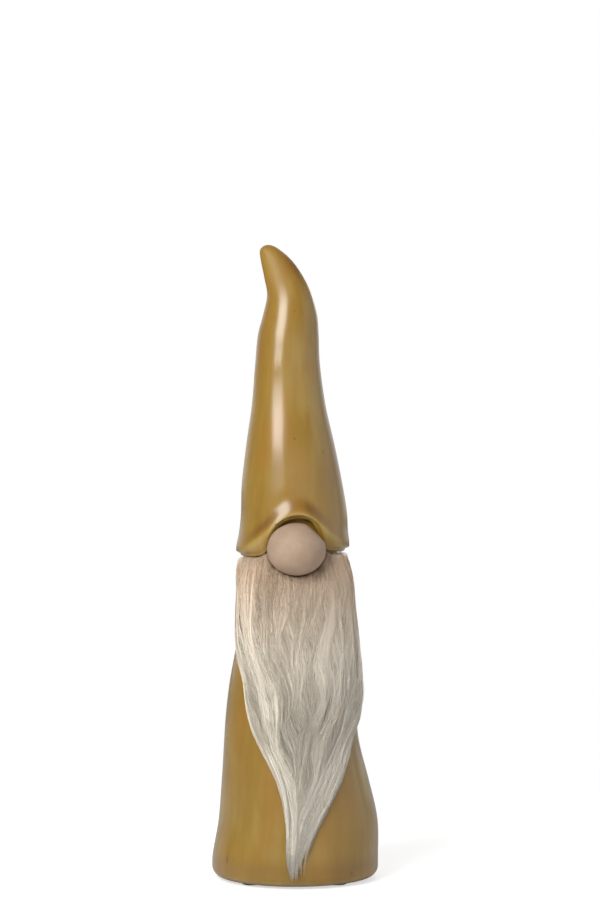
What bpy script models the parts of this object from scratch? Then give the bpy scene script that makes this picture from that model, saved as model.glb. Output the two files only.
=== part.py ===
"""Tomte gnome figurine: a hollow glazed body and hat, a matte clay nose and a glued fur beard.

Frame: +Z up, the face looks along -Y, the origin is the centre of the foot on the surface it stands on.
Sizes are in millimetres and become metres where a mesh is made.
Angles round the figurine are in degrees from the front, positive towards +X.
"""

from math import cos, exp, pi, radians, sin, sqrt

import bmesh
import bpy
from mathutils import Matrix, Vector

MM = 0.001
GAP = 0.3  # clearance between pieces that touch on the real object

# Ceramic
AXIS_Y = 1.6  # the castings stand this far behind the origin, because nose and beard reach forward
DEPTH_RATIO = 0.97  # depth of the castings over their width
WALL = 4.2
SEGMENTS = 40
HAT_ROWS = 15
CAVITY_ROWS = 12

# Body: height, centre in X, half width
BODY_OUTLINE = (
    (1.1, 0.3, 42.1),
    (12.0, 0.4, 42.0),
    (30.0, 1.8, 40.1),
    (50.0, 0.5, 37.3),
    (70.0, -1.5, 34.3),
    (85.0, -1.8, 33.0),
    (100.0, -1.7, 31.2),
    (120.0, -0.9, 28.0),
    (140.0, -0.6, 25.4),
    (152.0, -0.5, 24.2),
    (163.0, -0.6, 22.5),
    (178.0, -0.6, 22.0),
)
FOOT_HEIGHT = 1.1
FOOT_FILLET = 5.0
FLOOR_THICKNESS = 5.0
POUR_RADIUS = 22.0
NECK_TOP = 178.0
COLLAR_BOTTOM = 183.0
COLLAR_TOP = 192.0
COLLAR_HALF_WIDTH = 20.6

# Hat: height, centre in X, half width
HAT_OUTLINE = (
    (160.0, -1.0, 27.5),
    (172.0, -0.8, 27.6),
    (184.0, -0.4, 26.8),
    (200.0, -1.3, 25.3),
    (220.0, -2.0, 22.4),
    (240.0, -2.8, 18.7),
    (260.0, -3.5, 16.4),
    (275.0, -3.2, 15.3),
    (285.0, -2.3, 13.6),
    (295.0, -2.5, 11.3),
    (304.0, -5.3, 10.0),
    (312.0, -8.8, 8.1),
    (318.0, -12.3, 5.0),
    (320.5, -13.3, 0.0),
)
HAT_TOP = 320.5
HAT_CAVITY_TOP = 297.0
CAVITY_DOME = 12.0
BEND_START = 292.0  # above this the hat leans, so a level cut through it is wider than it is deep
BEND_END = 312.0
BEND_FLATTENING = 0.24
BRIM_HEIGHT = 164.4
BRIM_TILT = 1.0
ARCH_RISE = 16.7
ARCH_ANGLE = 3.5
ARCH_WIDTH = 29.0
ARCH_POWER = 4.6
SKIRT_RISE = 1.8  # a wide low rise of the edge on both sides of the arch, more of it on the right
SKIRT_LEAN = 1.4
SKIRT_WIDTH = 55.0
RIDGE_HEIGHT = 167.2  # the brim swells to a ridge, which arches wider than the edge below it
RIDGE_RISE = 18.6
RIDGE_WIDTH = 40.5
RIDGE_SWELL = 1.0
RIDGE_FALL = (5.5, 7.0)  # height in which the swell fades out above the ridge: over the nose, at the sides
RIM_CURL = (1.4, 1.1)  # how far the rim turns in below the ridge: over the nose, at the sides
HOLLOW_DEPTH = (0.25, 0.1)
HOLLOW_ABOVE_RIDGE = 8.5
HOLLOW_HEIGHT = 4.0
ARCH_REACH = 50.0  # angle from the arch in which the values over the nose turn into those of the sides
BRIM_TOP = 22.0  # above the ridge by this much the hat is plain

# Slip joint between the collar and the hat
SLIP_BOTTOM = 185.0
SLIP_TOP = 190.5

# Nose
NOSE_CENTER = Vector((1.0, -25.6, 168.5))
NOSE_RADII = Vector((14.7, 14.8, 13.1))
NOSE_FLAT = (0.74, 0.67)  # direction in X and Z of a flatter place at the upper right
NOSE_FLAT_START = 0.88
NOSE_FLAT_LEFT = 0.35
NOSE_BACK_Y = -22.2
NOSE_GLUE_RADIUS = 9.0

# Beard: height, angle of its left edge, angle of its right edge
BEARD_EDGES = (
    (5.0, -2.5, 6.0),
    (17.0, -6.5, 8.0),
    (29.0, -8.5, 13.5),
    (40.0, -10.0, 24.5),
    (52.0, -14.0, 38.5),
    (63.0, -21.0, 51.0),
    (75.0, -31.0, 62.0),
    (88.0, -40.0, 80.0),
    (103.0, -49.0, 84.0),
    (118.0, -68.0, 86.0),
    (135.0, -80.0, 88.0),
    (164.0, -88.0, 87.0),
)
BEARD_TOP = 164.0
BEARD_BOTTOM = 3.0
NOSE_NOTCH_DEPTH = 9.9
NOSE_NOTCH_WIDTH = 31.5
NOSE_NOTCH_POWER = 0.75
LOCK_SPLIT_HEIGHT = 63.0
LOCK_SPLITS = (0.33, 0.66)  # shares of the beard's width where the locks part
LOCK_GAP = 0.007
BACKING_SHARES = (0.06, 0.94)
BACKING_TOP = 160.0
BACKING_BOTTOM = 82.0
GLUE_BOTTOM = 140.0

# Layers of the beard, in millimetres above the ceramic: inner face, outer face
GLUE_LAYER = (0.3, 0.9)
BACKING_LAYER = (1.2, 2.2)
UNDERFUR_LAYER = (2.5, 4.0)
HAIR_OVER_BACKING = 4.3
HAIR_OVER_CERAMIC = 0.5
HAIR_THICKNESS_TOP = 3.0
HAIR_THICKNESS_BOTTOM = 2.4

# Felt pads
PAD_RADIUS = 5.0
PAD_THICKNESS = 0.8
PAD_CIRCLE = 30.0

OCHRE_GLAZE = (0.39, 0.23, 0.05)
BARE_CLAY = (0.46, 0.33, 0.22)
NOSE_CLAY = (0.50, 0.34, 0.24)
HAIR_BEIGE = (0.56, 0.47, 0.36)
BACKING_CREAM = (0.45, 0.38, 0.29)
HOT_GLUE = (0.72, 0.66, 0.52)
FELT_BROWN = (0.12, 0.09, 0.06)


def clear_scene():
    for obj in list(bpy.data.objects):
        bpy.data.objects.remove(obj)


def material(name, colour, roughness):
    made = bpy.data.materials.new(name)
    made.use_nodes = True
    shader = made.node_tree.nodes["Principled BSDF"]
    shader.inputs["Base Color"].default_value = (*colour, 1.0)
    shader.inputs["Roughness"].default_value = roughness
    shader.inputs["Metallic"].default_value = 0.0
    return made


def add_object(name, mesh_builder, finish):
    """A named object from a bmesh in millimetres, with its normals out and its curved faces smooth."""
    bmesh.ops.recalc_face_normals(mesh_builder, faces=mesh_builder.faces)
    bmesh.ops.scale(mesh_builder, vec=(MM, MM, MM), verts=mesh_builder.verts)
    mesh = bpy.data.meshes.new(name)
    mesh_builder.to_mesh(mesh)
    mesh_builder.free()
    mesh.shade_smooth()
    mesh.set_sharp_from_angle(angle=radians(40))
    mesh.materials.append(finish)
    obj = bpy.data.objects.new(name, mesh)
    bpy.context.scene.collection.objects.link(obj)
    return obj


def smooth_step(start, end, value):
    share = min(max((value - start) / (end - start), 0.0), 1.0)
    return share * share * (3 - 2 * share)


def mix(low, high, share):
    return low + (high - low) * share


def outline(stations, at):
    """A smooth curve through stations (position, a, b, ...), read at one position."""
    last = len(stations) - 1
    i = 0
    while i < last - 1 and at > stations[i + 1][0]:
        i += 1
    start, end = stations[i], stations[i + 1]
    before, after = stations[max(i - 1, 0)], stations[min(i + 2, last)]
    span = end[0] - start[0]
    t = min(max((at - start[0]) / span, 0.0), 1.0)
    values = []
    for k in range(1, len(start)):
        slope_start = (end[k] - before[k]) / (end[0] - before[0]) * span
        slope_end = (after[k] - start[k]) / (after[0] - start[0]) * span
        values.append(
            (2 * t**3 - 3 * t**2 + 1) * start[k]
            + (t**3 - 2 * t**2 + t) * slope_start
            + (3 * t**2 - 2 * t**3) * end[k]
            + (t**3 - t**2) * slope_end
        )
    return values


# The hat's outline is smooth in the root of the distance to its tip, where the tip is a dome.
HAT_STATIONS = tuple((sqrt(HAT_TOP - z), x, half) for z, x, half in reversed(HAT_OUTLINE))


def body_section(z):
    """Centre in X and half width of the body's outer surface, without the foot's fillet."""
    center, half = outline(BODY_OUTLINE, min(z, NECK_TOP))
    return center, mix(half, COLLAR_HALF_WIDTH, smooth_step(NECK_TOP, COLLAR_BOTTOM, z))


def body_point(angle, z, offset=0.0):
    """A point on the body's outer surface, moved out by offset."""
    center, half = body_section(z)
    side, front = sin(radians(angle)), cos(radians(angle))
    return Vector((center + (half + offset) * side, AXIS_Y - (half * DEPTH_RATIO + offset) * front, z))


def hat_point(angle, z, offset=0.0):
    """A point on the hat's outer surface, moved out by offset."""
    center, half = outline(HAT_STATIONS, sqrt(max(HAT_TOP - z, 0.0)))
    depth = half * (DEPTH_RATIO - BEND_FLATTENING * smooth_step(BEND_START, BEND_END, z))
    side, front = sin(radians(angle)), cos(radians(angle))
    return Vector((center + (half + offset) * side, AXIS_Y - (depth + offset) * front, z))


def from_arch(angle):
    """How far an angle is from the middle of the brim's arch."""
    return abs((angle - ARCH_ANGLE + 180) % 360 - 180)


def over_nose(values, angle):
    """A pair of values (over the nose, at the sides) mixed for an angle."""
    return mix(values[1], values[0], exp(-((from_arch(angle) / ARCH_REACH) ** 2)))


def brim_edge(angle):
    """Height of the hat's lower edge: a tilted level line, a low skirt and an arch over the nose."""
    lean = sin(radians(angle))
    arch = ARCH_RISE * exp(-((from_arch(angle) / ARCH_WIDTH) ** ARCH_POWER))
    skirt = (SKIRT_RISE + SKIRT_LEAN * lean) * exp(-((from_arch(angle) / SKIRT_WIDTH) ** 2))
    return BRIM_HEIGHT + BRIM_TILT * lean + arch + skirt


def brim_ridge(angle):
    """Height of the ridge that runs round the brim above its edge."""
    arch = RIDGE_RISE * exp(-((from_arch(angle) / RIDGE_WIDTH) ** 2))
    return RIDGE_HEIGHT + BRIM_TILT * sin(radians(angle)) + arch


def brim_offset(angle, above_ridge):
    """How far the brim stands out above its ridge: the fading swell, less the hollow above it."""
    swell = RIDGE_SWELL * exp(-((above_ridge / over_nose(RIDGE_FALL, angle)) ** 2))
    from_hollow = (above_ridge - HOLLOW_ABOVE_RIDGE) / HOLLOW_HEIGHT
    hollow = over_nose(HOLLOW_DEPTH, angle) * exp(-(from_hollow**2))
    return (swell - hollow) * (1 - smooth_step(BRIM_TOP - 6, BRIM_TOP, above_ridge))


def rim_radius(angle):
    return (WALL - over_nose(RIM_CURL, angle)) / 2


def angles():
    return [360 * i / SEGMENTS for i in range(SEGMENTS)]


def loft(rings, closed):
    """Rings of points joined in order. Closed joins the last to the first; else both ends are capped."""
    bm = bmesh.new()
    made = [[bm.verts.new(point) for point in ring] for ring in rings]
    pairs = list(zip(made, made[1:]))
    if closed:
        pairs.append((made[-1], made[0]))
    for lower, upper in pairs:
        for i in range(len(lower)):
            j = (i + 1) % len(lower)
            bm.faces.new((lower[i], lower[j], upper[j], upper[i]))
    if not closed:
        for ring in (made[0], made[-1]):
            bmesh.ops.poke(bm, faces=[bm.faces.new(ring)])
    return bm


def body_shell(finish):
    floor_top = FOOT_HEIGHT + FLOOR_THICKNESS
    outer_rows = [COLLAR_TOP, 187.0, COLLAR_BOTTOM, 180.5, NECK_TOP, 165.0, 150.0, 135.0, 120.0, 108.0]
    outer_rows += [97.0, 86.0, 76.0, 66.0, 56.0, 46.0, 36.0, 26.0, 16.0]
    rings = [[body_point(a, z) for a in angles()] for z in outer_rows]
    for step in range(5):
        turn = radians(90 * step / 4)
        z = FOOT_HEIGHT + FOOT_FILLET * (1 - sin(turn))
        rings.append([body_point(a, z, FOOT_FILLET * (cos(turn) - 1)) for a in angles()])
    turns = [radians(a) for a in angles()]
    hole = [Vector((POUR_RADIUS * sin(turn), AXIS_Y - POUR_RADIUS * cos(turn))) for turn in turns]
    rings.append([Vector((*point, FOOT_HEIGHT)) for point in hole])
    rings.append([Vector((*point, floor_top)) for point in hole])
    inner_rows = [floor_top, 25.0, 45.0, 62.0, 78.0, 95.0, 115.0, 140.0, 170.0, COLLAR_BOTTOM, COLLAR_TOP]
    for z in inner_rows:
        rings.append([body_point(a, z, -WALL) for a in angles()])
    return add_object("body_shell", loft(rings, closed=True), finish)


def hat_outside():
    """Rings up the outside of the hat: half-round rim, curl up to the ridge, hollow, cone."""
    rings = []
    for step in range(7):
        turn = pi + pi * step / 6
        ring = []
        for a in angles():
            offset = rim_radius(a) * (cos(turn) - 1) - over_nose(RIM_CURL, a)
            ring.append(hat_point(a, brim_edge(a) + rim_radius(a) * (1 + sin(turn)), offset))
        rings.append(ring)
    for share in (0.33, 0.66, 1.0):
        ring = []
        for a in angles():
            offset = mix(-over_nose(RIM_CURL, a), brim_offset(a, 0.0), 1 - (1 - share) ** 2)
            ring.append(hat_point(a, mix(brim_edge(a) + rim_radius(a), brim_ridge(a), share), offset))
        rings.append(ring)
    for above in (2.0, 4.0, 6.5, 9.0, 12.0, 15.0, 18.5, BRIM_TOP):
        rings.append([hat_point(a, brim_ridge(a) + above, brim_offset(a, above)) for a in angles()])
    for row in range(1, HAT_ROWS + 1):
        reach = 1 - (1 - row / (HAT_ROWS + 0.5)) ** 2
        rings.append([hat_point(a, mix(brim_ridge(a) + BRIM_TOP, HAT_TOP, reach)) for a in angles()])
    return rings


def hat_inside():
    """Rings down the inside of the hat, from the small dome of its cavity to the rim's inner edge."""
    rings = []
    for row in range(CAVITY_ROWS):
        share = (row + 0.4) / CAVITY_ROWS
        ring = []
        for a in angles():
            z = mix(brim_edge(a) + rim_radius(a), HAT_CAVITY_TOP, 1 - share * share)
            half = outline(HAT_STATIONS, sqrt(HAT_TOP - z))[1]
            dome = min(sqrt((HAT_CAVITY_TOP + 1.5 - z) / CAVITY_DOME), 1.0)
            ring.append(hat_point(a, z, -WALL - (half - WALL) * (1 - dome)))
        rings.append(ring)
    return rings


def hat_shell(finish):
    return add_object("hat_shell", loft(hat_inside() + hat_outside(), closed=False), finish)


def slip_joint_ring(finish):
    rings = []
    for z, side in ((SLIP_BOTTOM, 0), (SLIP_TOP, 0), (SLIP_TOP, 1), (SLIP_BOTTOM, 1)):
        if side:
            rings.append([hat_point(a, z, -WALL - 1.5 * GAP) for a in angles()])
        else:
            rings.append([body_point(a, z, GAP) for a in angles()])
    return add_object("slip_joint_ring", loft(rings, closed=True), finish)


def nose(finish):
    """A ball with a flat back, pressed a little flat on its front and at the upper right."""
    bm = bmesh.new()
    bmesh.ops.create_uvsphere(bm, u_segments=28, v_segments=16, radius=1.0)
    for vert in bm.verts:
        x, y, z = vert.co
        past = max(x * NOSE_FLAT[0] + z * NOSE_FLAT[1] - NOSE_FLAT_START, 0.0) * (1 - NOSE_FLAT_LEFT)
        x, z = x - past * NOSE_FLAT[0], z - past * NOSE_FLAT[1]
        vert.co = Vector((x * (1 - 0.02 * z), y * (1 - 0.04 * y * y), z + 0.02 * x * x))
    bmesh.ops.transform(bm, matrix=Matrix.LocRotScale(NOSE_CENTER, None, NOSE_RADII), verts=bm.verts)
    cut = bmesh.ops.bisect_plane(
        bm,
        geom=bm.verts[:] + bm.edges[:] + bm.faces[:],
        plane_co=(0, NOSE_BACK_Y, 0),
        plane_no=(0, 1, 0),
        clear_outer=True,
    )
    rim = [item for item in cut["geom_cut"] if isinstance(item, bmesh.types.BMEdge)]
    bmesh.ops.holes_fill(bm, edges=rim)
    return add_object("nose", bm, finish)


def nose_glue_pad(finish):
    """A round pad: flat against the nose's back and hollowed to the body's neck behind."""
    rings = []
    for share, front in ((0.05, False), (0.5, False), (1.0, False), (1.0, True), (0.5, True), (0.05, True)):
        ring = []
        for step in range(24):
            turn = 2 * pi * step / 24
            x = NOSE_CENTER.x + share * NOSE_GLUE_RADIUS * cos(turn)
            z = NOSE_CENTER.z + share * NOSE_GLUE_RADIUS * sin(turn)
            center, half = body_section(z)
            depth = half * DEPTH_RATIO * sqrt(1 - ((x - center) / half) ** 2)
            y = NOSE_BACK_Y + GAP if front else AXIS_Y - depth - GAP
            ring.append(Vector((x, y, z)))
        rings.append(ring)
    return add_object("nose_glue_pad", loft(rings, closed=False), finish)


def beard_place(across, level):
    """Angle and height at a share across the beard and a nominal height, with the notch under the nose."""
    left, right = outline(BEARD_EDGES, level)
    angle = mix(left, right, across)
    down = (BEARD_TOP - level) / (BEARD_TOP - BEARD_BOTTOM)
    inside = max(1 - ((angle - ARCH_ANGLE) / NOSE_NOTCH_WIDTH) ** 2, 0.0)
    notch = NOSE_NOTCH_DEPTH * inside**NOSE_NOTCH_POWER - BRIM_TILT * sin(radians(angle))
    return angle, level - notch * (1 - down) ** 4


def layer_solid(name, finish, shares, levels, layer, columns, rows):
    """A closed solid on the body's surface. layer(across, level) gives its inner and outer face."""
    bm = bmesh.new()
    faces = [[], []]
    for row in range(rows + 1):
        level = mix(levels[0], levels[1], row / rows)
        for side in (0, 1):
            line = []
            for column in range(columns + 1):
                across = mix(shares[0], shares[1], column / columns)
                angle, z = beard_place(across, level)
                line.append(bm.verts.new(body_point(angle, z, layer(across, level)[side])))
            faces[side].append(line)
    for side in (0, 1):
        for upper, lower in zip(faces[side], faces[side][1:]):
            for i in range(columns):
                bm.faces.new((upper[i], upper[i + 1], lower[i + 1], lower[i]))
    inner, outer = faces
    for r in range(rows):
        for i in (0, columns):
            bm.faces.new((inner[r][i], inner[r + 1][i], outer[r + 1][i], outer[r][i]))
    for i in range(columns):
        for r in (0, rows):
            bm.faces.new((inner[r][i], inner[r][i + 1], outer[r][i + 1], outer[r][i]))
    return add_object(name, bm, finish)


def hair_layer(across, level):
    """The guard hair lies over the backing, comes down to the ceramic at the edges and thins to the tip."""
    edge = min(across, 1 - across)
    over_backing = smooth_step(0.0, 0.036, edge) * smooth_step(60.0, 78.0, level)
    inner = mix(HAIR_OVER_CERAMIC, HAIR_OVER_BACKING, over_backing)
    share = (level - BEARD_BOTTOM) / (BEARD_TOP - BEARD_BOTTOM)
    thickness = mix(HAIR_THICKNESS_BOTTOM, HAIR_THICKNESS_TOP, share)
    right_swell = 1.6 * smooth_step(0.6, 0.95, across) * smooth_step(80.0, 110.0, level)
    rounding = mix(0.45, 1.0, smooth_step(0.0, 0.1, edge))
    rounding *= mix(0.5, 1.0, smooth_step(BEARD_TOP, 152.0, level))
    return inner, inner + (thickness + right_swell) * rounding


def guard_hair(finish):
    first, second = LOCK_SPLITS
    locks = (
        ("guard_hair_left", (0.0, first - LOCK_GAP)),
        ("guard_hair_center", (first + LOCK_GAP, second - LOCK_GAP)),
        ("guard_hair_right", (second + LOCK_GAP, 1.0)),
    )
    for name, shares in locks:
        layer_solid(name, finish, shares, (BEARD_TOP, LOCK_SPLIT_HEIGHT + GAP), hair_layer, 9, 20)
    tip_levels = (LOCK_SPLIT_HEIGHT - GAP, BEARD_BOTTOM)
    layer_solid("guard_hair_tip", finish, (0.0, 1.0), tip_levels, hair_layer, 8, 12)


def beard_underlay(backing_finish, fur_finish, glue_finish):
    sizes = (
        ("beard_underfur", fur_finish, (BACKING_TOP, BACKING_BOTTOM), UNDERFUR_LAYER, 12),
        ("beard_backing", backing_finish, (BACKING_TOP, BACKING_BOTTOM), BACKING_LAYER, 12),
        ("beard_glue_bead", glue_finish, (BACKING_TOP - 2, GLUE_BOTTOM), GLUE_LAYER, 4),
    )
    for name, finish, levels, layer, rows in sizes:
        layer_solid(name, finish, BACKING_SHARES, levels, lambda across, level, faces=layer: faces, 14, rows)


def felt_pads(finish):
    for number in range(4):
        turn = radians(45 + 90 * number)
        bm = bmesh.new()
        made = bmesh.ops.create_cone(
            bm, cap_ends=True, segments=24, radius1=PAD_RADIUS, radius2=PAD_RADIUS, depth=PAD_THICKNESS
        )
        place = Vector((PAD_CIRCLE * cos(turn), AXIS_Y + PAD_CIRCLE * sin(turn), PAD_THICKNESS / 2))
        bmesh.ops.translate(bm, vec=place, verts=made["verts"])
        add_object(f"felt_pad_{number + 1}", bm, finish)


def main():
    clear_scene()
    glaze = material("ochre_glaze", OCHRE_GLAZE, 0.12)
    slip = material("bare_clay", BARE_CLAY, 0.75)
    nose_clay = material("nose_clay", NOSE_CLAY, 0.7)
    hair = material("beige_hair", HAIR_BEIGE, 0.6)
    backing = material("backing_cloth", BACKING_CREAM, 0.9)
    glue = material("hot_glue", HOT_GLUE, 0.4)
    felt = material("brown_felt", FELT_BROWN, 0.95)
    body_shell(glaze)
    hat_shell(glaze)
    slip_joint_ring(slip)
    nose(nose_clay)
    nose_glue_pad(glue)
    beard_underlay(backing, hair, glue)
    guard_hair(hair)
    felt_pads(felt)


main()
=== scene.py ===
"""Gnome figurine: glazed castings, clay nose, fur beard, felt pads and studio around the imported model.

Shapes are worked out in millimetres and become metres where a mesh is made.
Angles round the figurine are in degrees from the front, positive towards +X.
"""

import bpy
import numpy as np
from bpy.props import FloatProperty, FloatVectorProperty, IntProperty, PointerProperty
from bpy.types import Operator, Panel, PropertyGroup
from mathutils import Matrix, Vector


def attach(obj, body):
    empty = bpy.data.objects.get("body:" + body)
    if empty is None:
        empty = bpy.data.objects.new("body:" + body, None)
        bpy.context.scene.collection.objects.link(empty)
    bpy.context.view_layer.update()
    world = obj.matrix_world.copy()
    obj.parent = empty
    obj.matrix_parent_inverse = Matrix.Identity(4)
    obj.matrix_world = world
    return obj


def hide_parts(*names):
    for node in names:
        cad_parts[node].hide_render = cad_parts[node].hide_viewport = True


bl_info = {
    "name": "Tomte Gnome Figurine",
    "version": (1, 0, 0),
    "blender": (4, 5, 0),
    "location": "View3D > Sidebar > Gnome",
    "description": "Makes the glaze, clay, fur and felt of a gnome figurine, and its studio",
    "category": "Object",
}

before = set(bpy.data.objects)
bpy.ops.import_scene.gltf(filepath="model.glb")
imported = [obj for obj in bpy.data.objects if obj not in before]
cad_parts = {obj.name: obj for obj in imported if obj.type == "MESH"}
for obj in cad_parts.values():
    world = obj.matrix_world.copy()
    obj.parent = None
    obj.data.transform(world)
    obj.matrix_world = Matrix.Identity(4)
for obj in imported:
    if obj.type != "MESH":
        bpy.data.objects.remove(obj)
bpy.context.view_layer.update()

MM = 0.001

# Castings
AXIS_Y = 1.6
DEPTH_RATIO = 0.97
WALL = 4.2
BODY_OUTLINE = (  # height, centre in X, half width
    (1.1, 0.3, 42.1),
    (12.0, 0.4, 42.0),
    (30.0, 1.8, 40.1),
    (50.0, 0.5, 37.3),
    (70.0, -1.5, 34.3),
    (85.0, -1.8, 33.0),
    (100.0, -1.7, 31.2),
    (120.0, -0.9, 28.0),
    (140.0, -0.6, 25.4),
    (152.0, -0.5, 24.2),
    (163.0, -0.6, 22.5),
    (178.0, -0.6, 22.0),
)
FOOT_HEIGHT = 1.1
FOOT_FILLET = 5.0
FLOOR_THICKNESS = 5.0
POUR_RADIUS = 22.0
NECK_TOP = 178.0
COLLAR_BOTTOM = 183.0
COLLAR_TOP = 192.0
COLLAR_HALF_WIDTH = 20.6
HAT_OUTLINE = (
    (160.0, -1.0, 27.5),
    (172.0, -0.8, 27.6),
    (184.0, -0.4, 26.8),
    (200.0, -1.3, 25.3),
    (220.0, -2.0, 22.4),
    (240.0, -2.8, 18.7),
    (260.0, -3.5, 16.4),
    (275.0, -3.2, 15.3),
    (285.0, -2.3, 13.6),
    (295.0, -2.5, 11.3),
    (304.0, -5.3, 10.0),
    (312.0, -8.8, 8.1),
    (318.0, -12.3, 5.0),
    (320.5, -13.3, 0.0),
)
HAT_TOP = 320.5
HAT_CAVITY_TOP = 297.0
CAVITY_DOME = 12.0
BEND_START = 292.0
BEND_END = 312.0
BEND_FLATTENING = 0.24
BRIM_HEIGHT = 164.4
BRIM_TILT = 1.0
ARCH_RISE = 16.7
ARCH_ANGLE = 3.5
ARCH_WIDTH = 29.0
ARCH_POWER = 4.6
SKIRT_RISE = 1.8
SKIRT_LEAN = 1.4
SKIRT_WIDTH = 55.0
RIDGE_HEIGHT = 167.2
RIDGE_RISE = 18.6
RIDGE_WIDTH = 40.5
RIDGE_SWELL = 1.0
RIDGE_FALL = 5.5
RIDGE_FALL_SIDE = 7.0
RIM_CURL = 1.4
RIM_CURL_SIDE = 1.1
HOLLOW_DEPTH = 0.25
HOLLOW_DEPTH_SIDE = 0.1
HOLLOW_ABOVE_RIDGE = 8.5
HOLLOW_HEIGHT = 4.0
ARCH_REACH = 50.0
HAT_DENTS = (  # angle, height, half angle, half height, how far out
    (-18.0, 221.0, 26.0, 14.0, 0.7),
    (-18.0, 261.0, 24.0, 6.0, 0.3),
)
BRIM_TOP = 22.0

# Nose
NOSE_CENTER = np.array((1.0, -25.6, 168.5))
NOSE_RADII = np.array((14.7, 14.8, 13.1))
NOSE_FLAT = (0.74, 0.67, 0.88, 0.35)  # direction of the flat place in X and Z, its start, share left past it
NOSE_BACK_Y = -22.2

# Beard
BEARD_EDGES = (  # height, angle of the left edge, angle of the right edge
    (5.0, -2.5, 6.0),
    (17.0, -6.5, 8.0),
    (29.0, -8.5, 13.5),
    (40.0, -10.0, 24.5),
    (52.0, -14.0, 38.5),
    (63.0, -21.0, 51.0),
    (75.0, -31.0, 62.0),
    (88.0, -40.0, 80.0),
    (103.0, -49.0, 84.0),
    (118.0, -68.0, 86.0),
    (135.0, -80.0, 88.0),
    (164.0, -88.0, 87.0),
)
BEARD_TOP = 164.0
BEARD_BOTTOM = 3.0
NOSE_NOTCH_DEPTH = 9.0
NOSE_NOTCH_WIDTH = 30.0
NOSE_NOTCH_POWER = 0.75
NOSE_SIDE_RISE = 1.8
STRANDS_IN_WISP = 6
WISP_WIDTH = 0.26
PARTING_PUSH = 1.3
PARTINGS = (  # share across, level, lean of share per millimetre, half width, half height
    (0.14, 120.0, 0.001, 0.016, 18.0),
    (0.28, 130.0, 0.0015, 0.018, 20.0),
    (0.415, 125.0, 0.0054, 0.020, 15.0),
    (0.575, 130.0, 0.0063, 0.023, 18.0),
    (0.64, 111.0, 0.006, 0.024, 14.0),
    (0.77, 132.0, 0.0, 0.019, 20.0),
    (0.27, 106.0, 0.006, 0.019, 14.0),
    (0.46, 95.0, 0.0078, 0.030, 16.0),
    (0.80, 90.0, 0.005, 0.030, 14.0),
    (0.10, 92.0, 0.003, 0.024, 14.0),
    (0.36, 84.0, 0.005, 0.024, 14.0),
    (0.66, 76.0, 0.006, 0.034, 13.0),
    (0.24, 64.0, 0.004, 0.038, 11.0),
    (0.44, 57.0, 0.0075, 0.048, 13.0),
    (0.62, 37.0, 0.004, 0.072, 8.0),
)
TIP_PILE = 2.9
FULL_PILE = 7.3
RIGHT_PILE = 1.6
MIDDLE_PILE = 1.2
LOWEST_HAIR = 0.35
FRAY_TOP = 36.0
FRAY_REACH = 28.0
LEFT_DRIFT = (0.8, 1.6)  # middle and spread, as for the next
RIGHT_DRIFT = (-9.0, 3.5)
LOCKS_IN_PART = 50
STRAND_POINTS = 10
BEARD_PARTS = (  # piece, node, shares across, levels of the roots, lengths
    ("hair_left", "guard_hair_left", (0.0, 0.34), (92, 162), (44, 72)),
    ("hair_center", "guard_hair_center", (0.30, 0.68), (94, 162), (46, 78)),
    ("hair_right", "guard_hair_right", (0.62, 1.0), (90, 162), (46, 76)),
    ("hair_tip", "guard_hair_tip", (0.04, 0.96), (83, 118), (64, 100)),
)
PALE_LOCKS = (0.17, 0.20, 0.23, 0.26)
UNDERFUR_LIFT = 10.0
UNDERFUR_LOCKS = 230
UNDERFUR_STRANDS = 24
UNDERFUR_POINTS = 6
UNDERFUR_WIDTH = 0.22
BACKING_SHARES = (0.06, 0.94)
BACKING_TOP = 160.0
BACKING_BOTTOM = 82.0
BACKING_LAYER = (1.2, 2.2)

# Felt pads
PAD_RADIUS = 5.0
PAD_THICKNESS = 0.8
PAD_CIRCLE = 30.0

# Seeds
HAT_SEED, BODY_SEED, GUARD_HAIR_SEED, UNDERFUR_SEED = 4, 9, 11, 21

# Studio, in metres
FLOOR_RADIUS = 6.0
FIGURE_MIDDLE = (0.0, 0.0, 0.17)
CAMERA_TARGET = (0.0028, 0.0, 0.217)


# ---------------------------------------------------------------- numbers


def smooth_step(start, end, value):
    """0 before start, 1 after end, and 3 s^2 - 2 s^3 of the share s between them."""
    share = np.clip((value - start) / (end - start), 0.0, 1.0)
    return share * share * (3 - 2 * share)


def mix(low, high, share):
    return low + (high - low) * share


def bell(value, middle, width):
    """1 at the middle, and exp(-s^2) at s widths from it."""
    return np.exp(-(((value - middle) / width) ** 2))


def round_angles(columns):
    """Even steps of a full turn in radians, as a row."""
    return np.linspace(0, 2 * np.pi, columns, endpoint=False)[None, :]


def outline(stations, at):
    """Curves through stations (position, a, b, ...), read at an array of positions.

    Between two stations each value is the cubic that meets both, with the slope at a station being
    the difference of its two neighbours over their distance.
    """
    table = np.array(stations, float)
    position, values = table[:, 0], table[:, 1:]
    last = len(position) - 1
    at = np.asarray(at, float)
    i = np.clip(np.searchsorted(position, at) - 1, 0, last - 1)
    before, after = np.maximum(i - 1, 0), np.minimum(i + 2, last)
    span = (position[i + 1] - position[i])[..., None]
    t = np.clip((at - position[i])[..., None] / span, 0.0, 1.0)
    slope_start = (values[i + 1] - values[before]) / (position[i + 1] - position[before])[..., None]
    slope_end = (values[after] - values[i]) / (position[after] - position[i])[..., None]
    read = (
        (2 * t**3 - 3 * t**2 + 1) * values[i]
        + (t**3 - 2 * t**2 + t) * slope_start * span
        + (3 * t**2 - 2 * t**3) * values[i + 1]
        + (t**3 - t**2) * slope_end * span
    )
    return [read[..., k] for k in range(read.shape[-1])]


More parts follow.
